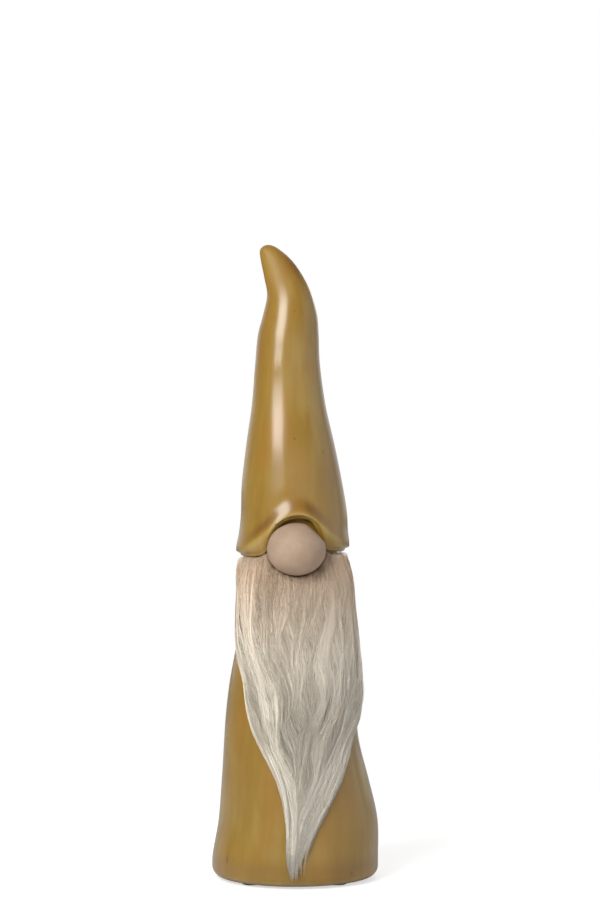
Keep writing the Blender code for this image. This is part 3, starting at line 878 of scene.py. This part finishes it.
def strand_paths(rng, locks, per_lock, points, underfur=False):
    """Paths of strands (strand, point, 3) and their tones.

    A lock's middle line runs down from its root at a share across the beard, with a drift and a wave.
    Wisps of a few strands start beside it at random distances and close on it towards the tip, and the
    strands of a wisp close on each other. A wisp ends at its own height over the beard's bottom and frays
    sideways there. A strand lifts off the backing as one minus an exponential of the way run, to its
    wisp's share of the beard's depth.
    """
    count = len(locks["share"]) * per_lock
    lock = {key: np.repeat(value, per_lock)[:, None] for key, value in locks.items()}
    t = strand_steps(points)[None, :]
    wisps = count // STRANDS_IN_WISP + 1
    beside, over, wisp_tone, wisp_end, wisp_fray = (
        np.repeat(values, STRANDS_IN_WISP)[:count, None]
        for values in (
            np.clip(rng.normal(0, 0.55, wisps), -1.4, 1.4),
            rng.uniform(0, 1, wisps),
            rng.normal(0, 0.27, wisps),
            rng.gamma(2.0, 5.0, wisps),
            rng.normal(0, 1.5, wisps),
        )
    )
    in_wisp = rng.normal(0, 1.0, (count, 1))
    over = np.clip(over + rng.normal(0, 0.08, (count, 1)), 0.0, 1.0)
    stray = rng.uniform(0, 1, (count, 1)) < 0.03
    root = lock["level"] + rng.uniform(-5, 5, (count, 1))
    root = np.minimum(root, BEARD_TOP + 0.6 - rng.uniform(0, 1, (count, 1)))
    length = lock["length"] * np.clip(rng.normal(1.0, 0.09, (count, 1)), 0.6, 1.2)
    floor = BEARD_BOTTOM + wisp_end + rng.exponential(1.5, (count, 1)) + UNDERFUR_LIFT * underfur
    length = np.minimum(length, np.maximum(root - floor, 8.0))
    travel = length * t
    level = root - travel
    ease = smooth_step(0.0, 1.0, t)
    start = mix(*BACKING_SHARES, lock["share"])
    across = mix(start, lock["share"], smooth_step(0.0, 18.0, travel))
    width = beard_width(level)
    per_mm = (50.0 / width) ** 0.35 / 50.0
    wave = lock["wave"] * np.sin(2 * np.pi * level / lock["wave_length"] + lock["phase"])
    wave = wave * smooth_step(0, 25, travel)
    closed = 0.40 * smooth_step(0.0, 0.35, t) + mix(0.2, 0.34, over) * smooth_step(0.3, 1.0, t)
    closing = 1 - closed * lock["clump"]
    own = in_wisp * mix(0.75, WISP_WIDTH, smooth_step(0.0, 0.4, t))
    own = own + np.where(stray, rng.normal(0, 2.2, (count, 1)), 0.0) * t**2
    frizz = rng.uniform(0.02, 0.15, (count, 1))
    frizz = frizz * np.sin(level / rng.uniform(4, 9, (count, 1)) + rng.uniform(0, 6.3, (count, 1)))
    sideways = lock["drift"] * t**1.4 + wave + lock["spread"] * beside * closing + own + frizz
    fray = wisp_fray + rng.normal(0, 0.4, (count, 1))
    fray = fray * np.clip((FRAY_TOP - level) / FRAY_REACH, 0.0, 1.0) / width
    across = keep_between(across + sideways * per_mm + fray)
    if not underfur:
        across = part_hair(across, level)
    low, high = beard_depth(across, level)
    rise = 1 - np.exp(-travel / mix(7.0, 0.6, smooth_step(146, 160, root)))
    crown = 0.14 * (1 - (beside / 1.4) ** 2) * ease
    lift = np.clip(lock["lift"] + 0.16 * (over - 0.5) + crown, 0.05, 1.0)
    lift = lift * rise * (1 - 0.22 * t**3) + np.where(stray, 0.18, 0.0) * t * smooth_step(10, 40, level)
    height = low + (high - low) * lift + 0.35 * frizz * ease
    tone = np.clip(lock["tone"] + wisp_tone + rng.normal(0, 0.07, (count, 1)), 0.02, 0.97)
    bulge = 1.3 * smooth_step(158, 163, root) * bell(travel, 1.8, 1.8)
    by_nose = bell(beard_place(across, level)[0], -14, 17) * smooth_step(160, 163, root)
    fuzz = rng.uniform(0.6, 2.4, (count, 1)) * (rng.uniform(0, 1, (count, 1)) < 0.1)
    bulge = bulge + fuzz * by_nose * np.exp(-travel / 3.0)
    return beard_point(across, level + bulge, np.maximum(height, low)), tone[:, 0]


def strand_mesh(name, paths, tones, width, material):
    """Three-sided tubes along paths, which swell a little past the root and taper to a point.

    Each corner of a ring lies at the path plus a radius times a turned mix of two directions: across
    the strand on the surface, and off the surface. The map holds tone across and top to bottom along.
    """
    count, points = paths.shape[:2]
    along = np.gradient(paths, axis=1)
    along /= np.linalg.norm(along, axis=-1, keepdims=True)
    outward = paths - np.array((0.0, AXIS_Y, 0.0))
    outward[..., 2] = 0.0
    side = np.cross(along, outward)
    side /= np.maximum(np.linalg.norm(side, axis=-1, keepdims=True), 1e-6)
    off = np.cross(side, along)
    t = strand_steps(points)
    radius = (width / 2) * (0.55 + 0.45 * np.minimum(t * 6, 1.0)) * (1 - 0.55 * t**2)
    turn = np.radians((90.0, 210.0, 330.0))
    ring = side[:, :, None] * np.cos(turn)[:, None] + off[:, :, None] * np.sin(turn)[:, None]
    rings = paths[:, :, None] + ring * radius[None, :, None, None]
    rings = rings[:, :-1]
    levels = points - 1
    corners = np.concatenate([rings.reshape(count, -1, 3), paths[:, -1:]], axis=1)
    block = levels * 3 + 1
    quads = grid_quads(levels, 3, True)[:, ::-1]
    last = (levels - 1) * 3
    triangles = np.array([[0, 1, 2], *[(last + (k + 1) % 3, last + k, levels * 3) for k in range(3)]])
    first = (np.arange(count) * block)[:, None, None]
    quads, triangles = (quads + first).reshape(-1, 4), (triangles + first).reshape(-1, 3)
    piece = write_piece(name, corners.reshape(-1, 3), quads, material, triangles)
    column = 0.01 + 0.97 * tones[:, None]
    u = np.concatenate([column + np.tile((0.0, 0.0015, 0.003), levels)[None, :], column + 0.0015], axis=1)
    v = np.clip((BEARD_TOP + 2 - corners[..., 2]) / (BEARD_TOP + 2), 0.0, 1.0)
    vertex_uv = np.stack([u.ravel(), 0.01 + 0.98 * v.ravel()], axis=-1)
    loops = np.zeros(len(piece.data.loops), np.int32)
    piece.data.loops.foreach_get("vertex_index", loops)
    piece.data.uv_layers.new(name="OFBake").data.foreach_set("uv", vertex_uv[loops].astype(np.float32).ravel())
    return piece


def lock_table(rng, shares, levels, lengths, lifts, tones, spread, clump):
    """The locks of one part of the beard, one array a property; spread, drift and wave are random."""
    count = len(shares)
    right = smooth_step(0.3, 0.6, shares) * mix(1.0, 0.45, smooth_step(0.8, 0.95, shares))
    return {
        **{"share": shares, "level": levels, "length": lengths, "lift": lifts, "tone": tones},
        "spread": rng.uniform(0.7, 1.3, count) * spread,
        "clump": np.full(count, clump) * rng.uniform(0.85, 1.05, count),
        "drift": rng.normal(*LEFT_DRIFT, count) * (1 - right) + rng.normal(*RIGHT_DRIFT, count) * right,
        "wave": rng.uniform(0.2, 1.1, count),
        "wave_length": rng.uniform(45, 90, count),
        "phase": rng.uniform(0, 2 * np.pi, count),
    }


def spread_evenly(rng, count, low, high):
    """Count numbers between two limits, one in each equal step, in a shuffled order."""
    return mix(low, high, (rng.permutation(count) + rng.uniform(0.1, 0.9, count)) / count)


# ---------------------------------------------------------------- settings


class CeramicSettings(PropertyGroup):
    """Fineness and colours of the castings and the nose."""

    columns: IntProperty(name="Columns", description="Points round a casting", default=256, min=48, max=400)
    glaze: FloatVectorProperty(
        name="Glaze", description="Glaze of ordinary thickness", subtype="COLOR", default=(0.325, 0.19, 0.0265)
    )
    thin_glaze: FloatVectorProperty(
        name="Thin glaze", description="Glaze on ridges", subtype="COLOR", default=(0.50, 0.36, 0.11)
    )
    thick_glaze: FloatVectorProperty(
        name="Thick glaze", description="Glaze in hollows", subtype="COLOR", default=(0.20, 0.088, 0.012)
    )
    clay: FloatVectorProperty(
        name="Clay", description="Bare clay under the foot and inside", subtype="COLOR", default=(0.46, 0.33, 0.22)
    )
    nose: FloatVectorProperty(
        name="Nose", description="Matte clay of the nose", subtype="COLOR", default=(0.46, 0.325, 0.23)
    )


class BeardSettings(PropertyGroup):
    """Hair sizes, and the colours of the hair, its backing, the glue and the felt."""

    strand_width: FloatProperty(
        name="Strand width", description="Width of a guard hair", unit="LENGTH", default=0.00019, max=0.0005
    )
    strands_in_lock: IntProperty(
        name="Strands in a lock", description="Guard hairs drawn for a lock", default=66, min=4, max=80
    )
    top_colour: FloatVectorProperty(
        name="Top", description="Hair at the beard's top", subtype="COLOR", default=(0.80, 0.625, 0.465)
    )
    middle_colour: FloatVectorProperty(
        name="Middle", description="Hair a third of the way down", subtype="COLOR", default=(0.92, 0.85, 0.74)
    )
    tip_colour: FloatVectorProperty(
        name="Tip", description="Hair at the beard's lower end", subtype="COLOR", default=(0.82, 0.79, 0.71)
    )
    backing_colour: FloatVectorProperty(
        name="Backing", description="Knitted backing", subtype="COLOR", default=(0.45, 0.38, 0.29)
    )
    glue_colour: FloatVectorProperty(
        name="Glue", description="Hot glue", subtype="COLOR", default=(0.72, 0.66, 0.52)
    )
    felt_colour: FloatVectorProperty(
        name="Felt", description="Felt of the pads", subtype="COLOR", default=(0.12, 0.09, 0.06)
    )


class StudioSettings(PropertyGroup):
    """Light and camera; powers are in watts."""

    distance: FloatProperty(
        name="Distance", description="Camera to the figurine", unit="LENGTH", default=1.6, min=0.5, max=5.0
    )
    elevation: FloatProperty(
        name="Elevation", description="Camera above the level, in degrees", default=2.2, min=-10.0, max=60.0
    )
    lens: FloatProperty(name="Lens", description="Focal length in millimetres", default=126.7, min=20.0, max=300.0)
    key_power: FloatProperty(name="Key", description="Power of the left softbox", default=11.6, min=0.0)
    fill_power: FloatProperty(name="Fill", description="Power of the right card", default=2.1, min=0.0)
    front_power: FloatProperty(name="Front", description="Power of the low front card", default=1.9, min=0.0)
    room: FloatProperty(name="Room", description="Brightness of the room in front", default=0.16, min=0.0)
    backdrop: FloatProperty(name="Backdrop", description="Brightness of the backdrop", default=0.78, min=0.0)


# ---------------------------------------------------------------- operators


def ceramic_colours(context):
    settings = context.scene.gnome_ceramic
    return settings.thin_glaze, settings.glaze, settings.thick_glaze, settings.clay


class GNOME_OT_body(Operator):
    """Makes the glazed body with its foot, pour hole, collar and hollow"""

    bl_idname = "gnome.body"
    bl_label = "Glazed body"

    def execute(self, context):
        points, depth, bare = body_surface(context.scene.gnome_ceramic.columns)
        rows, columns = points.shape[:2]
        glaze = glaze_material("ochre_glaze_body", ceramic_colours(context), 3)
        quads = grid_quads(rows, columns, True, loop=True)
        piece = write_piece("body_glazed", points.reshape(-1, 3), quads, glaze)
        write_attributes(piece, glaze_depth=depth, bare=bare, dull=0 * bare)
        finish_piece(piece, "ochre_glaze", "body_shell")
        return {"FINISHED"}


class GNOME_OT_hat(Operator):
    """Makes the glazed hat with its bent tip, rolled brim and the arch over the nose"""

    bl_idname = "gnome.hat"
    bl_label = "Glazed hat"

    def execute(self, context):
        points, depth, bare, dull = hat_surface(context.scene.gnome_ceramic.columns)
        glaze = glaze_material("ochre_glaze_hat", ceramic_colours(context), 7)
        piece = lathe_piece("hat_glazed", points, glaze)
        ends = {"glaze_depth": (depth, (0.5, 0.62)), "bare": (bare, (1.0, 0.0)), "dull": (dull, (0.0, 1.0))}
        write_attributes(piece, **{key: np.append(values.ravel(), last) for key, (values, last) in ends.items()})
        finish_piece(piece, "ochre_glaze", "hat_shell")
        return {"FINISHED"}


class GNOME_OT_nose(Operator):
    """Makes the round matte nose with its flat back"""

    bl_idname = "gnome.nose"
    bl_label = "Clay nose"

    def execute(self, context):
        clay = clay_material("nose_clay", context.scene.gnome_ceramic.nose, 0.35, 0.1)
        piece = lathe_piece("nose_ball", nose_surface(96, 56)[:, ::-1], clay)
        finish_piece(piece, "nose_clay", "nose")
        return {"FINISHED"}


class GNOME_OT_joints(Operator):
    """Gives the slip ring, the glue pad and the glue bead their finishes"""

    bl_idname = "gnome.joints"
    bl_label = "Slip and glue"

    def execute(self, context):
        slip = clay_material("bare_clay", context.scene.gnome_ceramic.clay, 0.5, 0.15)
        glue = glue_material("hot_glue", context.scene.gnome_beard.glue_colour)
        for node, material in (("slip_joint_ring", slip), ("nose_glue_pad", glue), ("beard_glue_bead", glue)):
            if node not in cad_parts:
                raise RuntimeError(f"the frame has no {node}")
            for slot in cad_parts[node].material_slots:
                slot.material = material
        return {"FINISHED"}


class GNOME_OT_backing(Operator):
    """Makes the knitted cloth that the fur grows from"""

    bl_idname = "gnome.backing"
    bl_label = "Knitted backing"

    def execute(self, context):
        across = np.linspace(*BACKING_SHARES, 70)[None, :]
        level = np.linspace(BACKING_TOP, BACKING_BOTTOM, 80)[:, None]
        across, level = np.broadcast_arrays(across, level)
        pucker = 0.06 * np.sin(across * 90) * np.sin(level * 0.9)
        inner = beard_point(across, level, BACKING_LAYER[0] + pucker)
        outer = beard_point(across, level, BACKING_LAYER[1] + pucker)
        knit = knit_material("backing_cloth", context.scene.gnome_beard.backing_colour)
        piece = layer_piece("backing_knit", inner, outer, knit)
        finish_piece(piece, "backing_cloth", "beard_backing")
        return {"FINISHED"}


class GNOME_OT_underfur(Operator):
    """Makes the short dense hair between the backing and the guard hair"""

    bl_idname = "gnome.underfur"
    bl_label = "Underfur"

    def execute(self, context):
        settings = context.scene.gnome_beard
        rng, count = np.random.default_rng(UNDERFUR_SEED), UNDERFUR_LOCKS
        shares = spread_evenly(rng, count, 0.0, 1.0)
        levels = spread_evenly(rng, count, BACKING_BOTTOM + 2, BEARD_TOP)
        lengths, lifts, tones = (rng.uniform(*limits, count) for limits in ((18, 34), (0.15, 0.5), (0.1, 0.4)))
        locks = lock_table(rng, shares, levels, lengths, lifts, tones, 4.0, 0.5)
        top, middle = settings.top_colour, settings.middle_colour
        # The underfur's colours are the guard hair's at about half brightness: painted shade for the gaps between
        # the locks, where the underfur shows.
        colours = (scaled(top, 0.55), scaled(middle, 0.5), scaled(middle, 0.6))
        fur = hair_material("beige_hair_under", *colours, 0.55)
        paths, tones = strand_paths(rng, locks, UNDERFUR_STRANDS, UNDERFUR_POINTS, underfur=True)
        piece = strand_mesh("underfur_hair", paths, tones, UNDERFUR_WIDTH, fur)
        finish_piece(piece, "beige_hair", "beard_underfur")
        return {"FINISHED"}


class GNOME_OT_guard_hair(Operator):
    """Makes the long guard hair: left, centre and right locks, and the locks that reach the tip"""

    bl_idname = "gnome.guard_hair"
    bl_label = "Guard hair"

    def execute(self, context):
        settings = context.scene.gnome_beard
        hair = hair_material("beige_hair", settings.top_colour, settings.middle_colour, settings.tip_colour, 0.62)
        rng, count = np.random.default_rng(GUARD_HAIR_SEED), LOCKS_IN_PART
        for name, node, shares, levels, lengths in BEARD_PARTS:
            share = spread_evenly(rng, count, *shares)
            level = spread_evenly(rng, count, *levels)
            if name != "hair_tip":
                level = np.where(np.arange(count) % 3 == 0, rng.uniform(158.5, BEARD_TOP, count), level)
            length = rng.uniform(*lengths, count)
            if name == "hair_tip":
                reach = mix(1.0, 0.76, smooth_step(0.2, 0.5, np.abs(share - 0.45)))
                length = np.minimum(length, (level - 5) * reach)
            lift = mix(0.35, 1.0, rng.uniform(0, 1, count)) * mix(0.75, 1.0, smooth_step(90, 150, level))
            lift = np.maximum(lift, 0.85 * smooth_step(154, 158, level))
            # Each lock's tone is random, with painted light added: lifted locks lighter and low locks darker as
            # painted shade, and the beard's right side lighter as painted fill light.
            tone = rng.normal(0.50, 0.24, count) + 0.14 * (lift - 0.6) + 0.32 * smooth_step(0.3, 0.8, share)
            if name == "hair_tip":
                pale = slice(len(PALE_LOCKS))
                share[pale], level[pale], length[pale], lift[pale], tone[pale] = PALE_LOCKS, 117.0, 111.0, 0.95, 0.66
            tone = np.clip(tone, 0.05, 0.95)
            locks = lock_table(rng, share, level, length, lift, tone, 3.6, 1.0)
            paths, tones = strand_paths(rng, locks, settings.strands_in_lock, STRAND_POINTS)
            piece = strand_mesh(name, paths, tones, settings.strand_width / MM, hair)
            finish_piece(piece, "beige_hair", node)
        return {"FINISHED"}


class GNOME_OT_pads(Operator):
    """Makes the four felt pads under the foot"""

    bl_idname = "gnome.pads"
    bl_label = "Felt pads"

    def execute(self, context):
        felt = felt_material("brown_felt", context.scene.gnome_beard.felt_colour)
        around = round_angles(48)
        rim = np.linspace(-np.pi / 2, np.pi / 2, 9)[:, None]
        soft = PAD_THICKNESS / 2 - 0.02
        flat = np.array([0.25, 0.5, 0.75, 0.92])[:, None] * (PAD_RADIUS - soft)
        radius = np.concatenate([flat, PAD_RADIUS - soft + soft * np.cos(rim), flat[::-1]])
        z = np.concatenate([0 * flat - 1, np.sin(rim), 0 * flat + 1]) * soft + PAD_THICKNESS / 2
        ragged = 1 - 0.012 * (1 + np.sin(11 * around + 3 * z))
        for number in range(4):
            turn = np.radians(45 + 90 * number)
            x = PAD_CIRCLE * np.cos(turn) + radius * ragged * np.cos(around)
            y = AXIS_Y + PAD_CIRCLE * np.sin(turn) + radius * ragged * np.sin(around)
            rows = np.stack(np.broadcast_arrays(x, y, z + 0 * x), axis=-1)
            piece = lathe_piece(f"felt_disc_{number + 1}", rows, felt)
            finish_piece(piece, "brown_felt", f"felt_pad_{number + 1}")
        return {"FINISHED"}


def aim(obj, target):
    """Turns an object at its own place so that its -Z axis points at the target."""
    away = obj.location - target
    obj.rotation_euler = away.to_track_quat("Z", "Y").to_euler()


def add_light(name, azimuth, elevation, distance, size, power, colour=(1.0, 1.0, 1.0)):
    """A rectangle of light on a sphere round the figurine's middle, aimed at it."""
    light = bpy.data.lights.new(name, "AREA")
    light.shape = "RECTANGLE"
    light.size, light.size_y = size
    light.energy = power
    light.color = colour
    obj = bpy.data.objects.new(name, light)
    bpy.context.scene.collection.objects.link(obj)
    middle = Vector(FIGURE_MIDDLE)
    turn, tilt = np.radians(azimuth), np.radians(elevation)
    way = Vector((np.sin(turn) * np.cos(tilt), -np.cos(turn) * np.cos(tilt), np.sin(tilt)))
    obj.location = middle + distance * way
    aim(obj, middle)
    obj.visible_camera = False


def floor_material():
    """Pale matte floor, which goes over to the white of the backdrop away from the figurine."""
    material, tree, shader, place = new_material("pale_floor")
    clouds = use_group(tree, mottle_group(), Place=place, Scale=6.0)["Clouds"]
    pale = blend_colours(tree, clouds, (0.64, 0.64, 0.64), (0.66, 0.66, 0.66))
    seen = put(tree, "ShaderNodeLightPath").outputs["Is Camera Ray"]
    glow = times(tree, seen, 0.62)
    feed(tree, shader, Base_Color=pale, Roughness=0.9, Specular_IOR_Level=0.1)
    feed(tree, shader, Emission_Color=(1.0, 1.0, 1.0), Emission_Strength=glow)
    away = put(tree, "ShaderNodeVectorMath", operation="LENGTH", Vector=place).outputs["Value"]
    far = smooth_socket(tree, away, 0.08, 0.45)
    white = put(tree, "ShaderNodeEmission", Color=(1.0, 1.0, 1.0), Strength=1.0)
    fading = put(tree, "ShaderNodeMixShader", Fac=times(tree, far, seen))
    tree.links.new(shader.outputs[0], fading.inputs[1])
    tree.links.new(white.outputs[0], fading.inputs[2])
    tree.links.new(fading.outputs[0], tree.nodes["Material Output"].inputs["Surface"])
    return material


def white_room(room, backdrop):
    """A world that looks white, is dim in front and lights from behind."""
    world = bpy.data.worlds.new("white_room")
    world.use_nodes = True
    tree = world.node_tree
    tree.nodes.clear()
    seen = put(tree, "ShaderNodeLightPath").outputs["Is Camera Ray"]
    way = put(tree, "ShaderNodeSeparateXYZ", Vector=put(tree, "ShaderNodeTexCoord").outputs["Generated"])
    behind = smooth_socket(tree, way.outputs["Y"], 0.3, 0.95)
    glow = times_plus(tree, behind, backdrop - room, room)
    strength = maths(tree, "MAXIMUM", seen, glow)
    light = put(tree, "ShaderNodeBackground", Color=(1.0, 1.0, 1.0), Strength=strength)
    put(tree, "ShaderNodeOutputWorld", Surface=light.outputs[0])
    return world


class GNOME_OT_studio(Operator):
    """Makes the pale floor, the lights, the white room and the camera"""

    bl_idname = "gnome.studio"
    bl_label = "Studio"

    def execute(self, context):
        settings, scene = context.scene.gnome_studio, context.scene
        around = round_angles(96)
        reach = np.array([0.01, 0.05, 0.2, 0.6, 1.0])[:, None] * FLOOR_RADIUS / MM
        rows = np.stack([reach * np.cos(around), reach * np.sin(around), 0 * reach * around], axis=-1)
        points = np.concatenate([rows.reshape(-1, 3), [[0.0, 0.0, 0.0]]])
        hub = np.stack([np.full(96, len(points) - 1), np.arange(96), (np.arange(96) + 1) % 96], axis=-1)
        floor = write_piece("floor", points, grid_quads(5, 96, True)[:, ::-1], floor_material(), hub)
        scene.world = white_room(settings.room, settings.backdrop)
        add_light("key_softbox", -33, 31, 1.1, (0.62, 0.72), settings.key_power, (1.0, 0.985, 0.96))
        add_light("right_card", 90, 8, 1.0, (1.0, 1.2), settings.fill_power, (0.97, 0.98, 1.0))
        add_light("top_light", -10, 80, 1.2, (0.8, 0.8), 0.9)
        add_light("front_card", 28, 6, 1.4, (1.9, 0.6), settings.front_power)
        add_light("rear_light", 165, 30, 1.1, (0.5, 0.8), 3.0)
        camera_data = bpy.data.cameras.new("camera")
        camera_data.lens = settings.lens
        camera_data.sensor_width = 36.0
        camera_data.dof.use_dof = False
        camera = bpy.data.objects.new("camera", camera_data)
        scene.collection.objects.link(camera)
        target, tilt = Vector(CAMERA_TARGET), np.radians(settings.elevation)
        camera.location = target + settings.distance * Vector((0.0, -np.cos(tilt), np.sin(tilt)))
        aim(camera, target)
        scene.camera = camera
        scene.view_settings.view_transform = "Standard"
        scene.view_settings.look = "None"
        return {"FINISHED"}


STEPS = (
    GNOME_OT_body,
    GNOME_OT_hat,
    GNOME_OT_nose,
    GNOME_OT_joints,
    GNOME_OT_backing,
    GNOME_OT_underfur,
    GNOME_OT_guard_hair,
    GNOME_OT_pads,
    GNOME_OT_studio,
)


class GNOME_PT_panel(Panel):
    """The steps that make the figurine, and their settings"""

    bl_label = "Gnome figurine"
    bl_space_type = "VIEW_3D"
    bl_region_type = "UI"
    bl_category = "Gnome"

    def draw(self, context):
        for settings in (context.scene.gnome_ceramic, context.scene.gnome_beard, context.scene.gnome_studio):
            box = self.layout.box()
            for key in settings.__annotations__:
                box.prop(settings, key)
        for step in STEPS:
            self.layout.operator(step.bl_idname)


SETTINGS = (
    ("gnome_ceramic", CeramicSettings),
    ("gnome_beard", BeardSettings),
    ("gnome_studio", StudioSettings),
)


def register():
    for _, group in SETTINGS:
        bpy.utils.register_class(group)
    for made in (*STEPS, GNOME_PT_panel):
        bpy.utils.register_class(made)
    for name, group in SETTINGS:
        setattr(bpy.types.Scene, name, PointerProperty(type=group))


def unregister():
    for name, _ in SETTINGS:
        delattr(bpy.types.Scene, name)
    for made in (GNOME_PT_panel, *reversed(STEPS)):
        bpy.utils.unregister_class(made)
    for _, group in SETTINGS:
        bpy.utils.unregister_class(group)


def main():
    register()
    for step in STEPS:
        getattr(bpy.ops.gnome, step.bl_idname.split(".")[1])()


if __name__ == "__main__":
    main()
